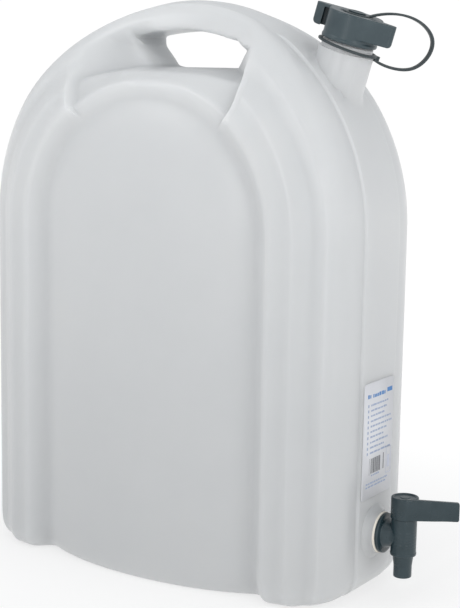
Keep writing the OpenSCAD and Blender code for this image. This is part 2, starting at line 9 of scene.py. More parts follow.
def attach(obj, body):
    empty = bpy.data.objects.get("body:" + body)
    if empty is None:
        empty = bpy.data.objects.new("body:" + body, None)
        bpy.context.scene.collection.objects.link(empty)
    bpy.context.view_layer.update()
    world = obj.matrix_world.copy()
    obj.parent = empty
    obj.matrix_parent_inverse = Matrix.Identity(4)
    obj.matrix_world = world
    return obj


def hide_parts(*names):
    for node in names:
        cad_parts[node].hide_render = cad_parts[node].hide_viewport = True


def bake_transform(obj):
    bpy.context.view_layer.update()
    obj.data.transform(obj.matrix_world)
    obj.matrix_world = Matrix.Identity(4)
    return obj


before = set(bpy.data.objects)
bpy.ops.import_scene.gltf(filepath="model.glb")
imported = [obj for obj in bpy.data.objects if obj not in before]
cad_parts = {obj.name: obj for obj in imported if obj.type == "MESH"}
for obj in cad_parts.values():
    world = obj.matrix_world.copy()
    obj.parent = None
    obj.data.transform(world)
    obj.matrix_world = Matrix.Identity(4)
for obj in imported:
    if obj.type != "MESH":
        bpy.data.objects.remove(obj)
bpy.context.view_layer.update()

MM = 0.001
rad = math.radians

# ------------------------------------------------------------------ camera
LENS_MM, SENSOR_MM = 87.619737, 36.0
SHIFT = (0.00875, 0.0154)
CAMERA_AT = (0.6799, -1.0008, 0.4095)           # in metres, like everything in this block
TURN, PITCH_DOWN, ROLL = rad(33.02), rad(9.54), 0.0162
cam_data = bpy.data.cameras.new("camera")
cam = bpy.data.objects.new("camera", cam_data)
bpy.context.scene.collection.objects.link(cam)
cam_data.sensor_width = SENSOR_MM
cam_data.lens = LENS_MM
cam_data.shift_x, cam_data.shift_y = SHIFT
cam_data.clip_start, cam_data.clip_end = 0.05, 20.0
reach = math.cos(PITCH_DOWN)
ahead = Vector((-math.sin(TURN) * reach, math.cos(TURN) * reach, -math.sin(PITCH_DOWN)))
level = Vector((math.cos(TURN), math.sin(TURN), 0))
upright = level.cross(ahead)
right = level * math.cos(ROLL) + upright * math.sin(ROLL)
up = upright * math.cos(ROLL) - level * math.sin(ROLL)
cam.matrix_world = Matrix([(right[i], up[i], -ahead[i], CAMERA_AT[i]) for i in range(3)] + [(0, 0, 0, 1)])
bpy.context.scene.camera = cam
bpy.context.scene.view_settings.view_transform = "Standard"

# ------------------------------------------------------------------ helpers
def new_object(name, verts, faces, smooth=True):
    me = bpy.data.meshes.new(name)
    me.from_pydata([tuple(v) for v in verts], [], [tuple(f) for f in faces])
    me.validate()
    ob = bpy.data.objects.new(name, me)
    bpy.context.scene.collection.objects.link(ob)
    for p in me.polygons:
        p.use_smooth = smooth
    return ob


def apply_modifiers(ob):
    dg = bpy.context.evaluated_depsgraph_get()
    dg.update()
    me = bpy.data.meshes.new_from_object(ob.evaluated_get(dg))
    ob.modifiers.clear()
    old = ob.data
    ob.data = me
    me.name = old.name
    bpy.data.meshes.remove(old)
    return ob


def fix_normals(ob):
    bm = bmesh.new()
    bm.from_mesh(ob.data)
    bmesh.ops.recalc_face_normals(bm, faces=bm.faces)
    bm.to_mesh(ob.data)
    bm.free()
    return ob


def boolean(ob, others, operation):
    for other in others:
        m = ob.modifiers.new("cut", "BOOLEAN")
        m.operation = operation
        m.object = other
        m.solver = "MANIFOLD"
        apply_modifiers(ob)
        bpy.data.objects.remove(other)
    return ob


def shade(ob, angle=35):
    for p in ob.data.polygons:
        p.use_smooth = True
    bm = bmesh.new()
    bm.from_mesh(ob.data)
    limit = rad(angle)
    for e in bm.edges:
        e.smooth = len(e.link_faces) == 2 and e.calc_face_angle(0) < limit
    bm.to_mesh(ob.data)
    bm.free()
    return ob


def corner(before, point, after, radius, steps, straight, shortest=0.0):
    """Arc that rounds one corner, or the point itself where the line runs nearly straight on."""
    p = np.array(point, float)
    a, b = np.array(before, float) - p, np.array(after, float) - p
    len_a, len_b = np.linalg.norm(a), np.linalg.norm(b)
    a, b = a / len_a, b / len_b
    half = math.acos(max(-1, min(1, float(a @ b)))) / 2
    if half > rad(straight):
        return [tuple(p)]
    reach = min(radius / math.tan(half), len_a * 0.49, len_b * 0.49)
    if reach < shortest:
        return [tuple(p)]
    r = reach * math.tan(half)
    centre = p + (a + b) / np.linalg.norm(a + b) * (r / math.sin(half))
    first, last = p + a * reach - centre, p + b * reach - centre
    w0, w1 = math.atan2(first[1], first[0]), math.atan2(last[1], last[0])
    sweep = (w1 - w0 + math.pi) % (2 * math.pi) - math.pi
    turns = [w0 + sweep * k / steps for k in range(steps + 1)]
    return [(centre[0] + r * math.cos(w), centre[1] + r * math.sin(w)) for w in turns]


def rounded(points, steps=4):
    """Profile [(r, z, fillet radius)] with its corners rounded."""
    out = []
    for i, (x, z, radius) in enumerate(points):
        if radius <= 0 or i in (0, len(points) - 1):
            out.append((x, z))
        else:
            out += corner(points[i - 1][:2], (x, z), points[i + 1][:2], radius, steps, 89)
    return out


def lathe(name, points, segments=96, place=None, steps=4):
    """Turned solid from a profile that starts and ends on the axis, or closes on itself."""
    prof = rounded(points, steps)
    closed = prof[0][0] > 1e-6
    verts, rings = [], []
    for r, z in prof:
        if r < 1e-6:
            rings.append([len(verts)])
            verts.append((0, 0, z))
        else:
            rings.append(list(range(len(verts), len(verts) + segments)))
            for k in range(segments):
                w = 2 * math.pi * k / segments
                verts.append((r * math.cos(w), r * math.sin(w), z))
    faces = []
    pairs = list(zip(rings, rings[1:])) + ([(rings[-1], rings[0])] if closed else [])
    for a, b in pairs:
        for k in range(segments):
            q = (k + 1) % segments
            if len(a) == 1 and len(b) == 1:
                continue
            if len(a) == 1:
                faces.append((a[0], b[q], b[k]))
            elif len(b) == 1:
                faces.append((a[k], a[q], b[0]))
            else:
                faces.append((a[k], a[q], b[q], b[k]))
    m = place or Matrix.Identity(4)
    ob = new_object(name, [m @ (Vector(v) * MM) for v in verts], faces)
    return fix_normals(ob)


def prism(name, outline, z0, z1, place=None):
    """Straight solid over an outline [(x, y)] between z0 and z1."""
    n = len(outline)
    m = place or Matrix.Identity(4)
    verts = [m @ (Vector((x, y, z)) * MM) for z in (z0, z1) for x, y in outline]
    faces = [tuple(range(n))[::-1], tuple(range(n, 2 * n))]
    faces += [(k, (k + 1) % n, n + (k + 1) % n, n + k) for k in range(n)]
    return fix_normals(new_object(name, verts, faces))


def box(x0, x1, y0, y1):
    return [(x0, y0), (x1, y0), (x1, y1), (x0, y1)]


def round_polygon(points, r, steps=6):
    """Closed outline with rounded corners."""
    out = []
    for i, point in enumerate(points):
        out += corner(points[i - 1], point, points[(i + 1) % len(points)], r, steps, 86, 0.05)
    return out


# ------------------------------------------------------------------ sizes of the canister, in mm and degrees
# s runs out from the centre of the arch (on the legs: from the middle of the panel), b is the angle
# from the top of the arch, y is half the depth
HALF_W, BODY_H = 172.5, 460.0
RISE = 4.5                              # the arch stands this much above a half circle
ARCH_Z = BODY_H - HALF_W - RISE
FRAME_Y, GROOVE_D = 78.5, 9.5
GROOVE_Y = FRAME_Y - GROOVE_D
CROWN, CROWN_POWER = 16.5, 0.72         # bulge of the panel
BASE_R, SIDE_BASE_R = 15.0, 23.0
GROOVE_BASE = (20.0, 34.0)              # how far in, and from how high up, the base draws the grooves
PANEL_BASE = (8.0, 24.0)
STRIP_H, STRIP_W = 1.8, 27.5            # raised strip of the narrow sides
STRIP_END, STRIP_FADE = 34.5, 3.5
SIDE_S = HALF_W - STRIP_H
CORNER_R, CORNER_A = 34.0, 52.0         # rounding of the frame towards the narrow side
CORNER_Y = FRAME_Y - 43.5
CORNER_S = SIDE_S - CORNER_R
RIDGE_S = CORNER_S + CORNER_R * math.cos(rad(CORNER_A))
RIDGE_Y = CORNER_Y + CORNER_R * math.sin(rad(CORNER_A))
CREASE_S, CREASE_Y = HALF_W - 37.5, FRAME_Y - 3.5
FOOT_IN, FOOT_OUT = 102.0, 104.2        # floor of the groove round the panel
WALL_TOP = 114.0
BAR_T, BAR_D, BAR_SHARE = 24.0, 29.0, 0.82      # grip: thickness, depth, share of that depth at its face
HOLE_H = 29.0
RECESS_A = 36.0                         # half angle of the finger recess
FLOOR_Z = BODY_H - BAR_T - HOLE_H
FLOOR_R = FLOOR_Z - ARCH_Z
LIP_R, LIP_Y = WALL_TOP, GROOVE_Y + 5
BAR_R = HALF_W + RISE - BAR_T
NOSE_Y, TIP_Y, NOSE_B, SPREAD_B = 19.0, 5.0, 2.0, 2.2       # rounded nose of a web, beside the hole
NOSE_L, NOSE_R = 15.2, 21.7             # angles of the two noses
WEB_L, WEB_R = 58.0, 51.0               # half depth of the webs at the edge of the recess
FACE_LOW, FACE_EDGE, FACE_DROP = 0.72, 9.0, 8.0             # rounded lower edge of the grip's face
FLARE, FLARE_OUT, RIGHT_CUT = 14.0, 12.0, 3.0
# The recess leans: angles at these places turn by so much at the panel and at the grip
TURN_B = (-60, -36, -15.2, 0, 21.7, 36, 60)
TURN_PANEL = (0, -1.8, 4.6, 0, -2.2, 4.6, 0)
TURN_GRIP = (0, 1.2, -1.6, 0, 0, -5.4, 0)
TURN_SPAN = 45.0
CORNER_RISE, HOLE_TOP, HOLE_ROUND, RIM = 3.0, (-16.4, 24.0), 3.5, 3.2       # upper edge and rim of the hole
# Windows along s or b: (start, rise, end, fall)
SOFT_GROOVE = (82, 14, FOOT_OUT + 6, 10)
LIP_SPAN = (104, 16, 150, 14)
WEB_SPAN, WEB_ANGLES = (140, 12, 168, 6), (6, 6, 29, 6)
NOSE_SPAN = (118, 8, 152, 10)
HOLE_SPAN = (-13, 5, NOSE_R - 3.5, 3)
LIPS = ((37.3, 1.7, 1.0), (-37.4, 0.6, 1.6))                # rolled edges of the recess: angle, height, width
NOSE_ROLL = ((-17.6, 1.8, 1.3), (-22.5, -2.0, 3.0))         # rolled nose of the left web, hollow behind it
RIDGE_BEAD = ((0, 0.7, 2.4), (-9, -1.1, 5.0))               # bead along the outer ridge, hollow before it
NECK_A, NECK_TILT, NECK_D, FILLET = 48.07, 16.6, 43.1, 7.0
NECK_X = HALF_W * math.sin(rad(NECK_A))
NECK_Z = ARCH_Z + HALF_W * math.cos(rad(NECK_A))
on_neck = Matrix.Translation((NECK_X * MM, 0, NECK_Z * MM)) @ Matrix.Rotation(rad(NECK_TILT), 4, "Y")
TAP_Z = 51.5


def clamp01(t):
    return np.clip(t, 0.0, 1.0)


def smooth(t):
    c = clamp01(t)
    return c * c * (3 - 2 * c)


def mix(a, b, t):
    return a + (b - a) * t


def window(x, start, rise, end, fall):
    return smooth((x - start) / rise) * (1 - smooth((x - end) / fall))


def bell(x, centre, width):
    return np.exp(-((x - centre) / width) ** 2)


def sind(a):
    return np.sin(np.radians(a))


def cosd(a):
    return np.cos(np.radians(a))


def crown_y(s):
    return GROOVE_Y + CROWN * np.maximum(0, 1 - (s / FOOT_IN) ** 2) ** CROWN_POWER


def leg_y(s):
    wall = GROOVE_Y + GROOVE_D * sind(90 * clamp01((s - FOOT_OUT) / (WALL_TOP - FOOT_OUT)))
    band = np.where(s < CREASE_S,
                    mix(FRAME_Y, CREASE_Y, smooth((s - WALL_TOP) / (CREASE_S - WALL_TOP))),
                    mix(CREASE_Y, RIDGE_Y, (s - CREASE_S) / (RIDGE_S - CREASE_S)))
    arc = CORNER_Y + np.sqrt(np.maximum(0, CORNER_R ** 2 - np.maximum(0, s - CORNER_S) ** 2))
    return np.where(s < FOOT_IN, crown_y(s), np.where(s < FOOT_OUT, GROOVE_Y, np.where(
        s < WALL_TOP, wall, np.where(s < RIDGE_S, band, arc))))


def thin(b):
    return mix(BAR_D / RIDGE_Y * 0.8, 1.0, smooth(np.abs(b) / 56.0))


def thin_share(s):
    return smooth((s - WALL_TOP) / (RIDGE_S - 8 - WALL_TOP))


def thinned(s, y, b):
    return y * (1 - (1 - thin(b)) * thin_share(s))


def outline_r(b):
    return HALF_W + RISE * cosd(b) ** 2


def strip_fade(b):
    return smooth((np.abs(b) - STRIP_END) / STRIP_FADE)


def web_part(b, nose, y):
    tip = mix(TIP_Y, NOSE_Y, np.sqrt(1 - (1 - clamp01((b - nose) / NOSE_B)) ** 2))
    start = nose + SPREAD_B
    return tip + (y - NOSE_Y) * clamp01((b - start) / (RECESS_A - start))


def web_y(b):
    return np.where(b < 0, web_part(-b, NOSE_L, WEB_L), web_part(b, NOSE_R, WEB_R))


def turned(s, b):
    """Angle where a station of the recess really lies."""
    return b + mix(np.interp(b, TURN_B, TURN_PANEL), np.interp(b, TURN_B, TURN_GRIP),
                   smooth((s - LIP_R) / TURN_SPAN))


def lip_outer(b):
    return (FLOOR_R - 1 - 7 * (np.tan(np.radians(b)) / math.tan(rad(30))) ** 2) / cosd(b)


def shoulder_y(s, b):
    rise = mix(GROOVE_Y, LIP_Y, sind(90 * clamp01((s - FOOT_OUT) / (LIP_R - 4 - FOOT_OUT))))
    t = (s - LIP_R) / (lip_outer(b) - LIP_R)
    far = np.where(t < 0.2, mix(LIP_Y, LIP_Y - 6, smooth(t / 0.2)),
                   np.where(t < 1, mix(LIP_Y - 6, LIP_Y - 19, (t - 0.2) / 0.8), 0.0))
    return np.where(s < LIP_R, rise, far)


def bar_y(s, b):
    """The grip: its face runs down to the hole, flares into the left web and starts higher at the right."""
    start = BAR_R + RIGHT_CUT * smooth((b - 27) / 6) - FACE_DROP * window(b, *HOLE_SPAN)
    edge = np.sqrt(1 - (1 - clamp01((s - start) / FACE_EDGE)) ** 2)
    plain = np.where(s < start, 0.0, mix(FACE_LOW, 1.0, edge))
    flared = smooth((s - BAR_R + FLARE) / (FLARE + FLARE_OUT))
    return mix(plain, flared, smooth((-b - 11) / 6)) * BAR_D * BAR_SHARE / thin(0.0) * thin(b)


def recess_y(s, b):
    return np.maximum(np.maximum(web_y(b), shoulder_y(s, b)), bar_y(s, b))


def outer_y(s, b):
    y = thinned(s, leg_y(s), b)
    return np.where((np.abs(b) < RECESS_A - 0.2) & (s > FOOT_OUT), np.minimum(y, recess_y(s, b)), y)


def blur(a, sigma, axis):
    if sigma <= 0:
        return a
    n = int(math.ceil(sigma * 3))
    k = np.exp(-0.5 * (np.arange(-n, n + 1) / sigma) ** 2)
    k /= k.sum()
    pad = [(0, 0), (0, 0)]
    pad[axis] = (n, n)
    p = np.pad(a, pad, mode="edge")
    out = np.zeros_like(a)
    for i, w in enumerate(k):
        sl = [slice(None), slice(None)]
        sl[axis] = slice(i, i + a.shape[axis])
        out += w * p[tuple(sl)]
    return out


# ------------------------------------------------------------------ canister
S0, S_STEP = 50.0, 1.0          # the softened field starts here
crown_s = np.concatenate([[0], np.arange(4, S0 + 6, 4.0)])
frame_s = np.concatenate([np.arange(S0 + 8, 80, 2.5), np.arange(80, RIDGE_S - 0.3, 1.0)])
arc_a = np.arange(CORNER_A, -0.1, -3.25)
leg_levels = np.concatenate([GROOVE_BASE[1] * (1 - cosd(np.arange(0, 90, 6.0))),
                             np.arange(GROOVE_BASE[1], ARCH_Z - 4, 9.0), [ARCH_Z]])
arch_b = np.concatenate([np.arange(90, 46, -2.0), np.arange(46, -46, -0.8), np.arange(-46, -90.1, -2.0)])
arch_b[0], arch_b[-1] = 90, -90

# Half depth for every station and angle, softened at the lips and creases and most of all in the groove
s_grid = np.arange(S0, RIDGE_S + 6, S_STEP)
S, B = np.meshgrid(s_grid, arch_b)
field = outer_y(S, B)
groove_soft = blur(field, 5.0, 1)
fine_soft = blur(blur(field, 1.3, 1), 0.9, 0)
field = mix(fine_soft, groove_soft, window(S, *SOFT_GROOVE))
for lip_b, lip_h, lip_w in LIPS:
    field = field + lip_h * bell(B, lip_b, lip_w) * window(S, *LIP_SPAN)
for bead_s, bead_h, bead_w in RIDGE_BEAD:
    field = field + bead_h * bell(S, RIDGE_S + bead_s, bead_w) * smooth((np.abs(B) - 40) / 8)
coarse = blur(blur(field, 5.0, 1), 3.6, 0)
field = mix(field, coarse, window(S, *WEB_SPAN) * window(-B, *WEB_ANGLES))
for nose_b, nose_h, nose_w in NOSE_ROLL:
    field = field + nose_h * bell(B, nose_b, nose_w) * window(S, *NOSE_SPAN)


def field_y(s, j):
    return np.interp(s, s_grid, field[j])


def section(b, j):
    """One quarter section [s, y] at the angle b, from the middle of the panel to the side."""
    s1 = crown_s
    y1 = crown_y(s1)
    s2 = frame_s
    y2 = field_y(s2, j)
    s3 = CORNER_S + CORNER_R * cosd(arc_a)
    y3 = thinned(s3, CORNER_Y + CORNER_R * sind(arc_a), b)
    if abs(b) < RECESS_A - 0.2:
        y3 = np.minimum(y3, recess_y(s3, np.full_like(s3, b)))
    w = smooth((arc_a - 30) / 20)
    y3 = mix(y3, np.minimum(field_y(s3, j), y3 + 0.5), w)
    fade = strip_fade(b)
    ys = np.array([33.0, 31.0, 29.6, 28.9, 28.3, 27.7, 27.1, 26.5, 25.6, 22.0, 16.0, 10.0, 5.0, 0.0])
    step = smooth((STRIP_W + 1.3 - ys) / 2.6)
    s4 = SIDE_S + STRIP_H * mix(smooth((34 - ys) / 26), step, fade)
    y4 = thinned(np.full_like(ys, SIDE_S), ys, b)
    return np.concatenate([s1, s2, s3, s4]), np.concatenate([y1, y2, y3, y4])


def lifted(s, b):
    return s * mix(1.0, outline_r(b) / HALF_W, clamp01((s - BAR_R) / 20))


def drawn_in(z, far, high):
    return far * (1 - np.sqrt(np.maximum(0, 1 - clamp01(1 - max(z, 0) / high) ** 2)))


def base_pull(s, y, z):
    off = clamp01(s / FOOT_IN) ** 2.5
    frame_part = smooth((s - FOOT_OUT) / (WALL_TOP + 6 - FOOT_OUT))
    far = mix(mix(PANEL_BASE[0], GROOVE_BASE[0], off), BASE_R, frame_part)
    high = mix(mix(PANEL_BASE[1], GROOVE_BASE[1], off), BASE_R, frame_part)
    share = clamp01((s - CREASE_S) / (HALF_W - CREASE_S))
    return s - drawn_in(z, SIDE_BASE_R, SIDE_BASE_R) * share, y * (1 - drawn_in(z, far, high) / FRAME_Y)


def build_canister():
    sq, yq = section(90.0, 0)
    k = len(sq) - 1
    n = 4 * k
    verts = []
    for z in leg_levels:
        s, y = base_pull(sq, yq, z)
        ring = [(s[i], -y[i]) for i in range(k + 1)] + [(s[i], y[i]) for i in range(k - 1, -1, -1)]
        ring += [(-s[i], y[i]) for i in range(1, k + 1)] + [(-s[i], -y[i]) for i in range(k - 1, 0, -1)]
        verts += [(a, b, z) for a, b in ring]
    top = (len(leg_levels) - 1) * n
    m = len(arch_b) - 1
    base = len(leg_levels) * n
    for j in range(1, m):
        b = arch_b[j]
        s, y = section(b, j)
        s = lifted(s, b)
        sb, cb = sind(turned(s, b)), cosd(turned(s, b))
        row = [(s[i] * sb[i], -y[i], ARCH_Z + s[i] * cb[i]) for i in range(1, k + 1)]
        row += [(s[i] * sb[i], y[i], ARCH_Z + s[i] * cb[i]) for i in range(k - 1, 0, -1)]
        verts += row

    def at(j, i):
        if i == 0:
            return top
        if i == 2 * k:
            return top + 2 * k
        if j == 0:
            return top + i
        if j == m:
            return top + (n - i) % n
        return base + (j - 1) * (2 * k - 1) + i - 1

    faces = []
    for i in range(k):
        faces.append((i, i + 1, 2 * k - i - 1, 2 * k - i) if i < k - 1 else (i, i + 1, 2 * k - i))
        c, d = (n - i - 1) % n, (n - i) % n
        faces.append((2 * k + i, 2 * k + i + 1, c, d) if i < k - 1 else (2 * k + i, 2 * k + i + 1, d))
    for j in range(len(leg_levels) - 1):
        for i in range(n):
            a, c = j * n + i, j * n + (i + 1) % n
            faces.append((a, a + n, c + n, c))
    for j in range(m):
        for i in range(2 * k):
            a, c, d, e = at(j, i), at(j, i + 1), at(j + 1, i + 1), at(j + 1, i)
            if i == 0:
                faces.append((a, d, c))
            elif i == 2 * k - 1:
                faces.append((a, e, c))
            else:
                faces.append((a, e, d, c))
    return np.array(verts, float), faces


verts, faces = build_canister()

# Fillet at the foot of the neck: the surface near the neck is drawn up along the neck's axis
FILLET_MAX, NEAR_NECK, BELOW_NECK = 5.5, 8.0, 45.0
axis = np.array((math.sin(rad(NECK_TILT)), 0, math.cos(rad(NECK_TILT))))
rel = verts - np.array((NECK_X, 0, NECK_Z))
along = rel @ axis
radial = np.linalg.norm(rel - np.outer(along, axis), axis=1)
u = clamp01((radial - NECK_D / 2 + 1.0) / FILLET)
lift = FILLET * (1 - np.sqrt(np.maximum(0, 1 - (1 - u) ** 2)))
lift = lift * (radial > NECK_D / 2 - NEAR_NECK) * (along > -BELOW_NECK)
verts = verts + np.outer(np.minimum(lift, FILLET_MAX), axis)


# Outline of the finger hole, and its rounded rim
def on_face(s, b):
    w = turned(s, b)
    return float(s * sind(w)), float(ARCH_Z + s * cosd(w))


def hole_side(nose, top):
    foot = FLOOR_R / cosd(nose)
    return [on_face(mix(foot, BAR_R + CORNER_RISE, t), mix(nose, top, t)) for t in (1, 0.75, 0.5, 0.25, 0)]


hole_left, hole_right = hole_side(-NOSE_L, HOLE_TOP[0]), hole_side(NOSE_R, HOLE_TOP[1])
hole = [on_face(BAR_R + CORNER_RISE * (2 * t - 1) ** 2, mix(*HOLE_TOP, t)) for t in np.linspace(0, 1, 25)]
hole += hole_right[1:-1] + [(hole_right[-1][0], FLOOR_Z), (hole_left[-1][0], FLOOR_Z)] + hole_left[-2:0:-1]
hole = round_polygon(hole, HOLE_ROUND)
RIM_X, RIM_Z, THINNEST = 75.0, 390.0, 1.6       # where the rim can be, and the least half depth it leaves
starts = np.array(hole)
edges = np.roll(starts, -1, axis=0) - starts
near = (np.abs(verts[:, 0]) < RIM_X) & (verts[:, 2] > RIM_Z)
flat = verts[near][:, None, [0, 2]]
t = clamp01(((flat - starts[None]) * edges[None]).sum(2) / (edges ** 2).sum(1)[None])
off_edge = np.linalg.norm(flat - (starts[None] + t[..., None] * edges[None]), axis=2).min(1)
drop = RIM - np.sqrt(np.maximum(0, RIM ** 2 - (RIM - np.minimum(off_edge, RIM)) ** 2))
rim_y = verts[near][:, 1]
verts[near, 1] = np.sign(rim_y) * np.maximum(np.abs(rim_y) - drop, np.minimum(np.abs(rim_y), THINNEST))

canister = new_object("canister_shell", verts * MM, faces)
fix_normals(canister)

RING_Z = 24.3                # ledge for the strap's ring, along the neck
CAP_Z = RING_Z + 6.7
CAP_TOP = CAP_Z + 21.7
NECK_TOP = CAP_TOP - 4.2
CORE_R, LEDGE_R, BORE_R = 17.6, 19.85, 15.7
SEAT_L, SEAT_R, TAIL_BORE_R = 6.4, 17.0, 9.9
on_seat = Matrix.Translation((HALF_W * MM, 0, TAP_Z * MM)) @ Matrix.Rotation(rad(90), 4, "Y")
neck = lathe("neck_part", [
    (0, -34, 0), (NECK_D / 2, -34, 0), (NECK_D / 2, RING_Z - 0.1, 0.6), (LEDGE_R, RING_Z, 0.3),
    (LEDGE_R, CAP_Z - 1.6, 0.5), (CORE_R, CAP_Z - 0.6, 0.8), (CORE_R, NECK_TOP, 0.8),
    (0, NECK_TOP, 0)], 128, on_neck)
seat = lathe("seat_part", [
    (0, -3, 0), (SEAT_R + 6, -3, 0), (SEAT_R + 4.2, 0.4, 2), (SEAT_R + 0.6, 2.6, 4), (SEAT_R, SEAT_L, 0.7),
    (0, SEAT_L, 0)], 96, on_seat)
boolean(canister, [neck, seat], "UNION")
grip_cut = prism("grip_cut", hole, -70, 70, Matrix.Rotation(rad(90), 4, "X"))
bore = lathe("bore_part", [(0, -70, 0), (BORE_R, -70, 3), (BORE_R, 60, 0), (0, 60, 0)], 96, on_neck)
tail_bore = lathe("tail_part", [
    (0, -22, 0), (TAIL_BORE_R, -22, 0), (TAIL_BORE_R, 20, 0), (0, 20, 0)], 96, on_seat)
boolean(canister, [grip_cut, bore, tail_bore], "DIFFERENCE")
shade(canister, 38)

# ------------------------------------------------------------------ materials
def material(name):
    m = bpy.data.materials.new(name)
    m.use_nodes = True
    return m, m.node_tree.nodes, m.node_tree.links, m.node_tree.nodes["Principled BSDF"]


def coords(nodes):
    return nodes.new("ShaderNodeTexCoord").outputs["Object"]


def noise(nodes, links, vec, scale, detail=3, rough=0.5, stretch=None):
    if stretch:
        mp = nodes.new("ShaderNodeMapping")
        mp.inputs["Scale"].default_value = stretch
        links.new(vec, mp.inputs["Vector"])
        vec = mp.outputs["Vector"]
    n = nodes.new("ShaderNodeTexNoise")
    n.inputs["Scale"].default_value = scale
    n.inputs["Detail"].default_value = detail
    n.inputs["Roughness"].default_value = rough
    links.new(vec, n.inputs["Vector"])
    return n.outputs["Fac"]


def ramp(nodes, links, fac, stops):
    r = nodes.new("ShaderNodeValToRGB")
    els = r.color_ramp.elements
    els[0].position, els[0].color = stops[0][0], (*stops[0][1], 1)
    els[1].position, els[1].color = stops[-1][0], (*stops[-1][1], 1)
    for pos, col in stops[1:-1]:
        e = els.new(pos)
        e.color = (*col, 1)
    links.new(fac, r.inputs["Fac"])
    return r.outputs["Color"]


def bump(nodes, links, height, strength, distance, base=None):
    b = nodes.new("ShaderNodeBump")
    b.inputs["Strength"].default_value = strength
    b.inputs["Distance"].default_value = distance
    links.new(height, b.inputs["Height"])
    if base is not None:
        links.new(base, b.inputs["Normal"])
    return b.outputs["Normal"]


def polyethylene():
    m, nodes, links, p = material("natural_polyethylene")
    vec = coords(nodes)
    col = ramp(nodes, links, noise(nodes, links, vec, 9, 4, 0.55),
               [(0.3, (0.575, 0.588, 0.598)), (0.55, (0.59, 0.602, 0.611)), (0.75, (0.60, 0.61, 0.616))])
    up = nodes.new("ShaderNodeSeparateXYZ")              # painted shade: slightly darker towards the base, a little lighter at the top
    links.new(vec, up.inputs[0])
    # painted shade: the base colour is scaled from 0.84 at the base up to 1.05 at the top
    painted_base_shade = nodes.new("ShaderNodeMapRange")
    for key, value in (("From Min", 0.0), ("From Max", BODY_H * MM), ("To Min", 0.84), ("To Max", 1.05)):
        painted_base_shade.inputs[key].default_value = value
    links.new(up.outputs["Z"], painted_base_shade.inputs["Value"])
    shaded = nodes.new("ShaderNodeVectorMath")
    shaded.operation = "SCALE"
    links.new(col, shaded.inputs[0])
    links.new(painted_base_shade.outputs["Result"], shaded.inputs["Scale"])
    links.new(shaded.outputs["Vector"], p.inputs["Base Color"])
    rg = nodes.new("ShaderNodeMapRange")
    rg.inputs["To Min"].default_value, rg.inputs["To Max"].default_value = 0.29, 0.38
    links.new(noise(nodes, links, vec, 22, 3, 0.5), rg.inputs["Value"])
    links.new(rg.outputs["Result"], p.inputs["Roughness"])
    n1 = bump(nodes, links, noise(nodes, links, vec, 26, 2, 0.5), 0.25, 0.0012)
    n2 = bump(nodes, links, noise(nodes, links, vec, 900, 2, 0.6), 0.08, 0.0002, n1)
    links.new(n2, p.inputs["Normal"])
    p.inputs["Subsurface Weight"].default_value = 0.7
    p.inputs["Subsurface Radius"].default_value = (1.0, 0.98, 0.95)
    p.inputs["Subsurface Scale"].default_value = 0.032
    p.inputs["IOR"].default_value = 1.5
    p.inputs["Specular IOR Level"].default_value = 0.5
    return m


def dark_plastic(name, low, high, rough=0.42):
    m, nodes, links, p = material(name)
    vec = coords(nodes)
    col = ramp(nodes, links, noise(nodes, links, vec, 60, 4, 0.6), [(0.35, low), (0.7, high)])
    links.new(col, p.inputs["Base Color"])
    rg = nodes.new("ShaderNodeMapRange")
    rg.inputs["To Min"].default_value, rg.inputs["To Max"].default_value = rough - 0.06, rough + 0.08
    links.new(noise(nodes, links, vec, 140, 3, 0.5), rg.inputs["Value"])
    links.new(rg.outputs["Result"], p.inputs["Roughness"])
    links.new(bump(nodes, links, noise(nodes, links, vec, 1400, 2, 0.6), 0.15, 0.0001), p.inputs["Normal"])
    p.inputs["IOR"].default_value = 1.49
    return m


def set_material(ob, m):
    ob.data.materials.clear()
    ob.data.materials.append(m)


natural = polyethylene()
cap_plastic = dark_plastic("cap_plastic", (0.032, 0.052, 0.062), (0.045, 0.068, 0.078), 0.30)
tap_plastic = dark_plastic("tap_plastic", (0.014, 0.030, 0.037), (0.023, 0.042, 0.051), 0.28)
strap_plastic = dark_plastic("strap_plastic", (0.024, 0.036, 0.041), (0.034, 0.047, 0.052), 0.40)
washer_cream = dark_plastic("washer_plastic", (0.80, 0.75, 0.66), (0.86, 0.82, 0.74), 0.5)
foam = dark_plastic("seal_foam", (0.74, 0.74, 0.72), (0.80, 0.80, 0.78), 0.7)
rubber = dark_plastic("o_ring_rubber", (0.010, 0.010, 0.010), (0.018, 0.018, 0.018), 0.6)
film = dark_plastic("label_film", (0.62, 0.63, 0.665), (0.645, 0.655, 0.685), 0.35)

# ------------------------------------------------------------------ label and its plain print
LABEL_X, LABEL_Y, LABEL_Z, LABEL_R = HALF_W, (-24.0, 25.0), (80.0, 172.0), 3.0
FILM_T, PRINT_T = 0.15, 0.03
on_side = Matrix(((0, 0, 1, 0), (1, 0, 0, 0), (0, 1, 0, 0), (0, 0, 0, 1)))      # outlines in y, z
label_film = prism("label_film", round_polygon(box(*LABEL_Y, *LABEL_Z), LABEL_R, 8),
                   LABEL_X, LABEL_X + FILM_T, on_side)
rng = np.random.default_rng(7)
ink = {"header": [], "text": [], "bars": [], "tint": []}


def mark(kind, y0, y1, z, h):
    ink[kind].append((y0, y1, z, z + h))


def words(kind, y0, y1, z, h, longest=6.5):
    """A line of plain dashes between y0 and y1."""
    y = y0
    while y < y1 - 1:
        n = min(rng.uniform(2.0, longest), y1 - y)
        mark(kind, y, y + n, z, h * rng.uniform(0.85, 1.1))
        y += n + rng.uniform(0.6, 0.9)


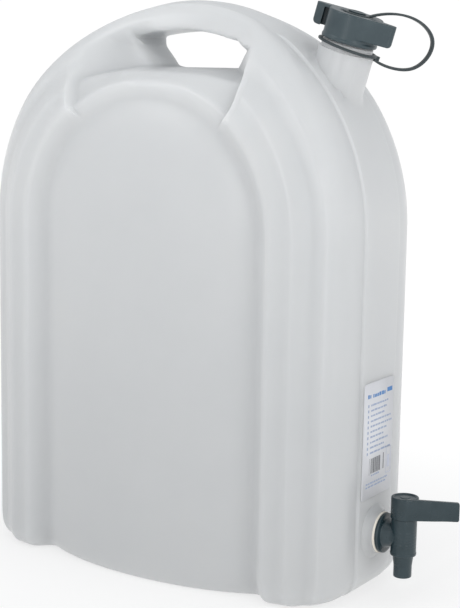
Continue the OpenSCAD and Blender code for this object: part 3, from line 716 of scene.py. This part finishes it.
words("header", -18, -12.8, 159.8, 2.9, 3)
words("header", -9.5, 11, 159.6, 2.7, 4.5)
mark("header", 14, 22.5, 160.4, 3.4)
LINE_GAP, LINE_TOP = 4.2, 153.3
for k, end in enumerate((16, 14, 10, 21, 23, 15.5, 9.5, 17, 11, 23)):
    mark("text", -17.3, -15.4, LINE_TOP - LINE_GAP * k - 0.4, 2.2)
    words("text", -12.3, end, LINE_TOP - LINE_GAP * k, 1.45)
y = -10.0
while y < 5:
    n = rng.choice((0.45, 0.7, 1.1, 1.5))
    mark("bars", y, y + n, 99.5, 12.0)
    y += n + rng.choice((0.35, 0.5, 0.8))
mark("bars", -12.6, -12.2, 98.6, 13.4)
mark("bars", 10.4, 11.6, 99.5, 12.8)
words("text", -9, 4.5, 97.2, 1.2, 2)
words("text", -17.5, 18.5, 91.3, 1.3)
words("text", -17.5, 15.5, 88.7, 1.3)
mark("tint", 15.5, 23.5, 94.5, 0.7)
mark("tint", 15.5, 16.1, 95.2, 20)
mark("tint", 22.9, 23.5, 95.2, 20)
mark("tint", 15.5, 23.5, 115.2, 0.7)
mark("tint", 17.5, 21.5, 99, 10)
print_v, print_f, print_m = [], [], []
for slot, kind in enumerate(ink):
    for y0, y1, z0, z1 in ink[kind]:
        c = round_polygon(box(y0, y1, z0, z1), 0.12, 2)
        k = len(print_v)
        n = len(c)
        print_v += [(LABEL_X + FILM_T + t, y, z) for t in (0, PRINT_T) for y, z in c]
        print_f.append(tuple(range(k + n, k + 2 * n)))
        print_f += [(k + i, k + (i + 1) % n, k + n + (i + 1) % n, k + n + i) for i in range(n)]
        print_m += [slot] * (n + 1)
label_print = new_object("label_print", np.array(print_v) * MM, print_f, False)
inks = [dark_plastic("header_ink", (0.05, 0.18, 0.43), (0.07, 0.21, 0.46), 0.5),
        dark_plastic("text_ink", (0.27, 0.33, 0.47), (0.31, 0.37, 0.50), 0.5),
        dark_plastic("bar_ink", (0.10, 0.105, 0.115), (0.13, 0.135, 0.145), 0.5),
        dark_plastic("tint_ink", (0.44, 0.47, 0.56), (0.48, 0.50, 0.58), 0.5)]
for m in inks:
    label_print.data.materials.append(m)
for poly, slot in zip(label_print.data.polygons, print_m):
    poly.material_index = slot
set_material(label_film, film)
for ob in (label_film, label_print):
    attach(ob, "canister")
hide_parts("label")

set_material(canister, natural)
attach(canister, "canister")
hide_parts("canister_body")
for node, mat in (("cap_seal", foam), ("tap_washer", washer_cream), ("plug_o_ring_upper", rubber),
                  ("plug_o_ring_lower", rubber)):
    set_material(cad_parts[node], mat)
    shade(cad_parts[node], 30)

# ------------------------------------------------------------------ screw cap
def hull(points):
    """Convex outline round a set of points."""
    pts = sorted(set((round(x, 5), round(y, 5)) for x, y in points))

    def half(seq):
        out = []
        for q in seq:
            while len(out) > 1 and ((out[-1][0] - out[-2][0]) * (q[1] - out[-2][1])
                                    - (out[-1][1] - out[-2][1]) * (q[0] - out[-2][0])) <= 0:
                out.pop()
            out.append(q)
        return out[:-1]
    return half(pts) + half(pts[::-1])


def circle(x, y, r, n=40):
    return [(x + r * math.cos(2 * math.pi * k / n), y + r * math.sin(2 * math.pi * k / n)) for k in range(n)]


def moulded(ob, voxel, passes):
    """Soft moulded edges: remesh finely and relax."""
    m = ob.modifiers.new("remesh", "REMESH")
    m.mode = "VOXEL"
    m.voxel_size = voxel * MM
    m.use_smooth_shade = True
    apply_modifiers(ob)
    m = ob.modifiers.new("relax", "SMOOTH")
    m.factor = 0.5
    m.iterations = passes
    return apply_modifiers(ob)


CAP_R, WING_H, CAP_TURN = 21.0, 16.6, 30.0
WING_X, TIP_R = 30.5, 3.2               # reach of a wing, rounding of its lower tip
CAP_BORE_R, DISH_R, DISH_H, STUD_R = 18.8, 12.5, 1.0, 6.3
wing_z = CAP_TOP - WING_H
dish_z = CAP_TOP - DISH_H
wing_outline = hull(circle(0, 7 - CAP_R, 7) + circle(WING_X - 3.4, 4.2 - CAP_R, 3.4) + circle(6, -7, 6))
cap_parts = []
for turn in (0, 180):
    spin = Matrix.Rotation(rad(CAP_TURN + turn), 4, "Z")
    wing = prism("wing", wing_outline, wing_z, CAP_TOP, spin)
    pocket = prism("pocket", round_polygon([(12, 4), (24.4, 0), (24.4, -17.2), (12, -17.2)], 1.2),
                   wing_z - 1, CAP_TOP - 2.4, spin)
    arc = [(WING_X - TIP_R * (1 - cosd(w)), wing_z + TIP_R * (1 - sind(w))) for w in range(0, 91, 15)]
    tip_outline = [(WING_X - TIP_R, wing_z - 1), (WING_X + 1, wing_z - 1), (WING_X + 1, wing_z + TIP_R)] + arc
    tip = prism("tip", tip_outline, -8, 24, spin @ Matrix.Rotation(rad(90), 4, "X"))
    cap_parts.append(boolean(wing, [pocket, tip], "DIFFERENCE"))
cap = lathe("cap", [
    (0, CAP_Z, 0), (CAP_R + 0.4, CAP_Z, 0.4), (CAP_R + 0.7, CAP_Z + 2.2, 0.5), (CAP_R, CAP_Z + 3, 0.3),
    (CAP_R, CAP_TOP, 1.0), (0, CAP_TOP, 0)], 160)
boolean(cap, cap_parts, "UNION")
cap_bore = lathe("cap_bore", [
    (0, CAP_Z - 1, 0), (CAP_BORE_R, CAP_Z - 1, 0), (CAP_BORE_R, CAP_TOP - 2.6, 0.5),
    (0, CAP_TOP - 2.6, 0)], 160)
dish = lathe("dish", [
    (STUD_R, dish_z, 0), (DISH_R, dish_z, 0.4), (DISH_R + 1, CAP_TOP + 1, 0), (STUD_R, CAP_TOP + 1, 0)], 120)
boolean(cap, [cap_bore, dish], "DIFFERENCE")
stud = lathe("stud", [
    (0, dish_z - 0.6, 0), (STUD_R, dish_z - 0.6, 0), (STUD_R, dish_z + 1.9, 0.2),
    (STUD_R + 0.8, dish_z + 2.0, 0.2), (STUD_R + 0.5, dish_z + 2.7, 0.3), (STUD_R - 1.6, dish_z + 2.7, 0.4),
    (STUD_R - 2.2, dish_z + 2.2, 0.4), (0, dish_z + 2.2, 0)], 96)
boolean(cap, [stud], "UNION")
moulded(cap, 0.4, 4)
cap.data.transform(on_neck)
set_material(cap, cap_plastic)
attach(cap, "cap")
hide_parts("screw_cap")

# Thread on the neck, seen when the cap is unscrewed
PITCH, THREAD_TURNS, PER_TURN, THREAD_H, THREAD_START = 4.5, 2.6, 72, 0.85, 2.2
thread_v, thread_f = [], []
steps = int(THREAD_TURNS * PER_TURN)
for i in range(steps + 1):
    w = 2 * math.pi * i / PER_TURN
    z = CAP_Z + THREAD_START + PITCH * i / PER_TURN
    crest = CORE_R + THREAD_H * float(smooth(min(i, steps - i) / 10))
    root, flank = CORE_R - 0.4, crest - 0.05
    for r, dz in ((root, -1.3), (flank, -0.5), (crest, 0.0), (flank, 0.35), (root, 1.0)):
        thread_v.append(on_neck @ (Vector((r * math.cos(w), r * math.sin(w), z + dz)) * MM))
    if i:
        a = 5 * (i - 1)
        thread_f += [(a + k, a + 5 + k, a + 5 + (k + 1) % 5, a + (k + 1) % 5) for k in range(5)]
thread_f += [(0, 1, 2, 3, 4), tuple(range(5 * steps + 4, 5 * steps - 1, -1))]
thread = fix_normals(new_object("neck_thread", thread_v, thread_f))
shade(thread, 40)
set_material(thread, natural)
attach(thread, "canister")

# ------------------------------------------------------------------ retaining strap
RING_H, RING_T, RING_TILT, RING_R, STRAP_TURN = 1.9, 2.6, 4.4, NECK_D / 2 - 0.7, 33.0
STRAP_W, STRAP_T, TWIST = 4.6, 1.8, 20.0
END_BORE_R, END_R, END_T = 6.55, 10.5, 1.6
to_strap = Matrix.Rotation(rad(STRAP_TURN), 4, "Z")
ring_at = RING_Z + (RING_R + RING_T) * math.sin(rad(RING_TILT)) + 0.15
on_ring = Matrix.Translation((0, 0, ring_at * MM)) @ to_strap @ Matrix.Rotation(rad(RING_TILT), 4, "Y")
# Three curves of four points each, sharing their ends, as (out from the neck's axis, along it)
route = np.array([
    (RING_R + 2.2, RING_Z - 1.6), (30, RING_Z - 4.6), (44.5, RING_Z - 5.3), (52.1, RING_Z - 0.2),
    (60.5, RING_Z + 5.4), (65, RING_Z + 18.7), (58.5, CAP_TOP - 1.5), (51.4, CAP_TOP + 7.5),
    (32, CAP_TOP + 13.3), (9, CAP_TOP - 0.2)])
line = []
for j in range(3):
    p0, p1, p2, p3 = route[3 * j:3 * j + 4]
    for t in np.arange(0, 1, 1 / 24):
        line.append((1 - t) ** 3 * p0 + 3 * (1 - t) ** 2 * t * p1 + 3 * (1 - t) * t * t * p2 + t ** 3 * p3)
line = np.array(line + [route[-1]])
tan = np.gradient(line, axis=0)
tan /= np.linalg.norm(tan, axis=1)[:, None]
edge = round_polygon(box(-STRAP_W / 2, STRAP_W / 2, -STRAP_T / 2, STRAP_T / 2), 0.55, 3)
band_v, band_f = [], []
for i, (c, d) in enumerate(zip(line, tan)):
    share = i / (len(line) - 1)
    w = rad(TWIST) * math.sin(math.pi * share ** 1.5) ** 2
    nx, nz = -d[1], d[0]
    for a, e in edge:
        across = a * math.cos(w) - e * math.sin(w)
        off = a * math.sin(w) + e * math.cos(w)
        band_v.append(to_strap @ (Vector((c[0] + nx * off, across, c[1] + nz * off)) * MM))
n = len(edge)
for i in range(len(line) - 1):
    band_f += [(i * n + k, i * n + (k + 1) % n, (i + 1) * n + (k + 1) % n, (i + 1) * n + k) for k in range(n)]
band_f += [tuple(range(n)), tuple(range(len(band_v) - 1, len(band_v) - 1 - n, -1))]
strap = fix_normals(new_object("strap", band_v, band_f))
ring = lathe("ring", [
    (RING_R, 0, 0.3), (RING_R + RING_T, 0, 0.7), (RING_R + RING_T, RING_H, 0.7), (RING_R, RING_H, 0.3)],
    128, on_ring)
lug = [(RING_R + 0.9, 4.4), (RING_R + 3.4, 2.2), (RING_R + 5.6, 0)]
lug = [(x, -y) for x, y in lug] + lug[1::-1]
tab = prism("tab", round_polygon(lug, 0.8, 4), -2.4, RING_H - 0.2, on_ring)
end_ring = lathe("end_ring", [
    (END_BORE_R, dish_z, 0.2), (END_R, dish_z, 0.3), (END_R, dish_z + END_T, 0.5),
    (END_BORE_R, dish_z + END_T, 0.4)], 96)
boolean(strap, [ring, tab, end_ring], "UNION")
stud_room = lathe("stud_room", [
    (0, dish_z - 1, 0), (END_BORE_R, dish_z - 1, 0), (END_BORE_R, dish_z + 4, 0), (0, dish_z + 4, 0)], 96)
below = lathe("below", [
    (0, dish_z - 3, 0), (DISH_R, dish_z - 3, 0), (DISH_R, dish_z + 0.02, 0), (0, dish_z + 0.02, 0)], 96)
boolean(strap, [stud_room, below], "DIFFERENCE")
strap.data.transform(on_neck)
shade(strap, 40)
set_material(strap, strap_plastic)
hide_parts("retaining_strap")
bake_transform(strap)

# ------------------------------------------------------------------ tap
WASHER_T, FLANGE_R, FLANGE_T, BARREL_R, TAIL_R, BOSS_L = 1.6, 15.8, 3.0, 10.2, 9.8, 10.0
flange_x = HALF_W + SEAT_L + WASHER_T
tap_x = flange_x + FLANGE_T + 14.6
barrel_z, barrel_top = TAP_Z - 14.4, TAP_Z + 15.1
spout_z = barrel_z - 17.6
SPOUT_R, STRAIGHT_L, PLUG_R, FLOW_R = 7.1, 9.0, 6.95, 4.3
on_inlet = Matrix.Translation((flange_x * MM, 0, TAP_Z * MM)) @ Matrix.Rotation(rad(90), 4, "Y")
on_barrel = Matrix.Translation((tap_x * MM, 0, 0))
neck_l = tap_x - flange_x
tail_l = WASHER_T + SEAT_L + BOSS_L + 2
housing = lathe("housing", [
    (0, -tail_l, 0), (TAIL_R, -tail_l, 0.8), (TAIL_R, 0, 0), (FLANGE_R, 0, 0.5),
    (FLANGE_R, FLANGE_T - 0.6, 0.9), (FLANGE_R - 1.9, FLANGE_T - 0.1, 0.4), (FLANGE_R - 4.2, FLANGE_T, 0.6),
    (FLANGE_R - 4.6, FLANGE_T + 0.8, 0.8), (BARREL_R - 1, neck_l - 8, 1.5), (BARREL_R - 1, neck_l - 2, 0),
    (0, neck_l - 2, 0)], 128, on_inlet)
turned_r = BARREL_R - 0.25
barrel_profile = [
    (0, spout_z, 0), (SPOUT_R, spout_z, 0.7), (SPOUT_R, spout_z + STRAIGHT_L, 6),
    (SPOUT_R + 1.1, barrel_z, 0.25), (BARREL_R - 0.1, barrel_z, 0.7), (BARREL_R, barrel_z + 1.8, 0),
    (BARREL_R, barrel_z + 2.2, 0.2), (turned_r, barrel_z + 2.5, 0.2)]
for k in range(6):                                  # faint turned lines round the barrel
    z = TAP_Z - 7 + 2.4 * k
    barrel_profile += [(turned_r, z, 0.1), (BARREL_R - 0.37, z + 0.3, 0.1), (turned_r, z + 0.6, 0.1)]
barrel_profile += [(turned_r, barrel_top, 0.4), (0, barrel_top, 0)]
barrel = lathe("barrel", barrel_profile, 128, on_barrel)
boolean(housing, [barrel], "UNION")
flow = lathe("flow", [
    (0, -tail_l - 1, 0), (FLOW_R, -tail_l - 1, 0), (FLOW_R, neck_l, 0), (0, neck_l, 0)], 64, on_inlet)
room_r = PLUG_R + 0.05
plug_room = lathe("plug_room", [
    (0, barrel_z + 1.8, 0), (room_r, barrel_z + 1.8, 0), (room_r, barrel_top - 2.5, 0.1),
    (PLUG_R + 0.6, barrel_top - 2.4, 0.1), (PLUG_R + 0.6, barrel_top - 1.1, 0.1),
    (room_r, barrel_top - 1.0, 0.1), (room_r, barrel_top + 5, 0), (0, barrel_top + 5, 0)], 96, on_barrel)
outlet = lathe("outlet", [
    (0, spout_z - 1, 0), (FLOW_R + 0.9, spout_z - 1, 0), (FLOW_R + 0.6, spout_z + 0.8, 0.3),
    (FLOW_R, spout_z + 2.6, 0.5), (FLOW_R, barrel_z + 10, 0), (0, barrel_z + 10, 0)], 64, on_barrel)
boolean(housing, [flow, plug_room, outlet], "DIFFERENCE")
shade(housing, 32)
set_material(housing, tap_plastic)
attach(housing, "canister")
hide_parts("tap_housing")

HUB_R, LEVER_L, LEVER_H, LEVER_T, LEVER_A = BARREL_R + 0.5, 41.0, 16.9, 4.0, 30.0
THUMB_R = 62.0               # hollow for the thumb, along the lever's front face
hub_z = barrel_top + 0.1
hub_top = hub_z + LEVER_H
plug = lathe("plug", [
    (0, barrel_z + 1.9, 0), (PLUG_R, barrel_z + 1.9, 0.4), (PLUG_R, hub_z, 0), (HUB_R, hub_z, 0.35),
    (HUB_R, hub_top, 1.2), (HUB_R - 1.9, hub_top, 0.5), (HUB_R - 2.5, hub_top - 0.9, 0.4),
    (4.2, hub_top - 0.9, 0.4), (3.6, hub_top - 0.5, 0.4), (0, hub_top - 0.5, 0)], 128)
lever_outline = round_polygon([
    (0, 0), (LEVER_L - 1, 0.5), (LEVER_L, 1.4), (LEVER_L, LEVER_H - 2.6), (LEVER_L - 1, LEVER_H - 1.6),
    (HUB_R, LEVER_H - 0.4), (0, LEVER_H - 0.4)], 1.6)
lever = prism("lever", lever_outline, -LEVER_T, 0, Matrix.Rotation(rad(90), 4, "X"))
bevel = lever.modifiers.new("bevel", "BEVEL")
bevel.width = 0.55 * MM
bevel.segments = 3
bevel.limit_method = "ANGLE"
bevel.angle_limit = rad(50)
apply_modifiers(lever)
thumb = lathe("thumb", [(0, -1, 0), (THUMB_R, -1, 0), (THUMB_R, LEVER_H + 1, 0), (0, LEVER_H + 1, 0)], 720,
              Matrix.Translation(((LEVER_L - 11) * MM, (1 - THUMB_R) * MM, 0)))
boolean(lever, [thumb], "DIFFERENCE")
lever.data.transform(Matrix.Rotation(rad(LEVER_A), 4, "Z")
                     @ Matrix.Translation((0, (0.25 - HUB_R) * MM, (hub_z + 0.25) * MM)))
boolean(plug, [lever], "UNION")
port_z = TAP_Z + FLOW_R
cuts = [
    lathe("port_down", [(0, barrel_z, 0), (FLOW_R, barrel_z, 0), (FLOW_R, port_z, 0), (0, port_z, 0)], 64),
    lathe("port_side", [(0, -10, 0), (FLOW_R - 0.4, -10, 0), (FLOW_R - 0.4, 10, 0), (0, 10, 0)], 64,
          Matrix.Translation((0, 0, TAP_Z * MM)) @ Matrix.Rotation(rad(90), 4, "X"))]
for z in (barrel_z + 4.6, TAP_Z + 7.5):
    cuts.append(lathe("seal_groove", [
        (PLUG_R - 1.5, z - 0.9, 0), (PLUG_R + 1, z - 0.9, 0), (PLUG_R + 1, z + 0.9, 0),
        (PLUG_R - 1.5, z + 0.9, 0)], 96))
boolean(plug, cuts, "DIFFERENCE")
plug.data.transform(on_barrel)
shade(plug, 32)
set_material(plug, tap_plastic)
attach(plug, "plug")
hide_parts("tap_plug")

# ------------------------------------------------------------------ floor, light
rings_r = (0, 0.6, 1.2, 2.4, 5, 12, 40)             # in metres
spokes = np.radians(np.arange(0, 360, 7.5))
floor_v = [(r * math.cos(w), r * math.sin(w), 0) for r in rings_r[1:] for w in spokes] + [(0, 0, 0)]
n_sp = len(spokes)
floor_f = [(n_sp * (len(rings_r) - 1), k, (k + 1) % n_sp) for k in range(n_sp)]
floor_f += [(j * n_sp + k, (j + 1) * n_sp + k, (j + 1) * n_sp + (k + 1) % n_sp, j * n_sp + (k + 1) % n_sp)
            for j in range(len(rings_r) - 2) for k in range(n_sp)]
floor = new_object("floor", floor_v, floor_f, False)
fm, fn, fl, fp = material("floor_paint")
fl.new(ramp(fn, fl, noise(fn, fl, coords(fn), 3, 2), [(0.3, (0.90, 0.90, 0.90)), (0.7, (0.92, 0.92, 0.92))]),
       fp.inputs["Base Color"])
fp.inputs["Roughness"].default_value = 0.9
fp.inputs["Specular IOR Level"].default_value = 0.1
dist = fn.new("ShaderNodeVectorMath")
dist.operation = "LENGTH"
fl.new(coords(fn), dist.inputs[0])
far_share = fn.new("ShaderNodeMapRange")          # the floor runs into a lit white sweep further out
far_share.interpolation_type = "SMOOTHSTEP"
for key, value in (("From Min", 0.1), ("From Max", 0.55), ("To Min", 0.6), ("To Max", 1.0)):
    far_share.inputs[key].default_value = value
fl.new(dist.outputs["Value"], far_share.inputs["Value"])
glow, blend = fn.new("ShaderNodeEmission"), fn.new("ShaderNodeMixShader")
glow.inputs["Strength"].default_value = 1.02
fl.new(far_share.outputs["Result"], blend.inputs["Fac"])
fl.new(fp.outputs["BSDF"], blend.inputs[1])
fl.new(glow.outputs["Emission"], blend.inputs[2])
fl.new(blend.outputs["Shader"], fn["Material Output"].inputs["Surface"])
set_material(floor, fm)

# A soft sky, white along the horizon
world = bpy.data.worlds.new("world")
bpy.context.scene.world = world
world.use_nodes = True
wn, wl = world.node_tree.nodes, world.node_tree.links
sep = wn.new("ShaderNodeSeparateXYZ")
wl.new(wn.new("ShaderNodeTexCoord").outputs["Generated"], sep.inputs[0])
horizon = (1.02, 1.02, 1.02)
sky = [(0.0, horizon), (0.06, horizon), (0.14, (0.64, 0.65, 0.66)), (1.0, (0.68, 0.69, 0.70))]
wl.new(ramp(wn, wl, sep.outputs["Z"], sky), wn["Background"].inputs["Color"])
wn["Background"].inputs["Strength"].default_value = 1.0


def light(name, kind, loc, target, power, **facts):
    d = bpy.data.lights.new(name, kind)
    d.energy = power
    for k, v in facts.items():
        setattr(d, k, v)
    o = bpy.data.objects.new(name, d)
    bpy.context.scene.collection.objects.link(o)
    o.location = loc
    o.rotation_mode = "QUATERNION"
    o.rotation_quaternion = (Vector(target) - Vector(loc)).to_track_quat("-Z", "Y")
    return o


light("right_sky", "SUN", (3.0, -0.6, 1.6), (0, 0, 0.2), 0.40, angle=rad(50))
light("top_sky", "SUN", (0, 0, 3.0), (0, 0, 0.2), 0.25, angle=rad(60))
for name, loc, target, power, width, height in (
        ("left_softbox", (-0.45, -0.75, 0.95), (0, 0, 0.42), 1.5, 0.5, 0.4),
        ("right_softbox", (1.2, -0.5, 0.9), (0.05, 0, 0.35), 0.5, 0.4, 0.7),
        ("front_strip", (0.2, -1.3, 0.7), (0.1, 0, 0.35), 2.0, 0.08, 0.9),
        ("ridge_strip", (1.07, -0.77, 0.45), (0.15, 0, 0.27), 1.5, 0.08, 0.8)):
    light(name, "AREA", loc, target, power, shape="RECTANGLE", size=width, size_y=height)
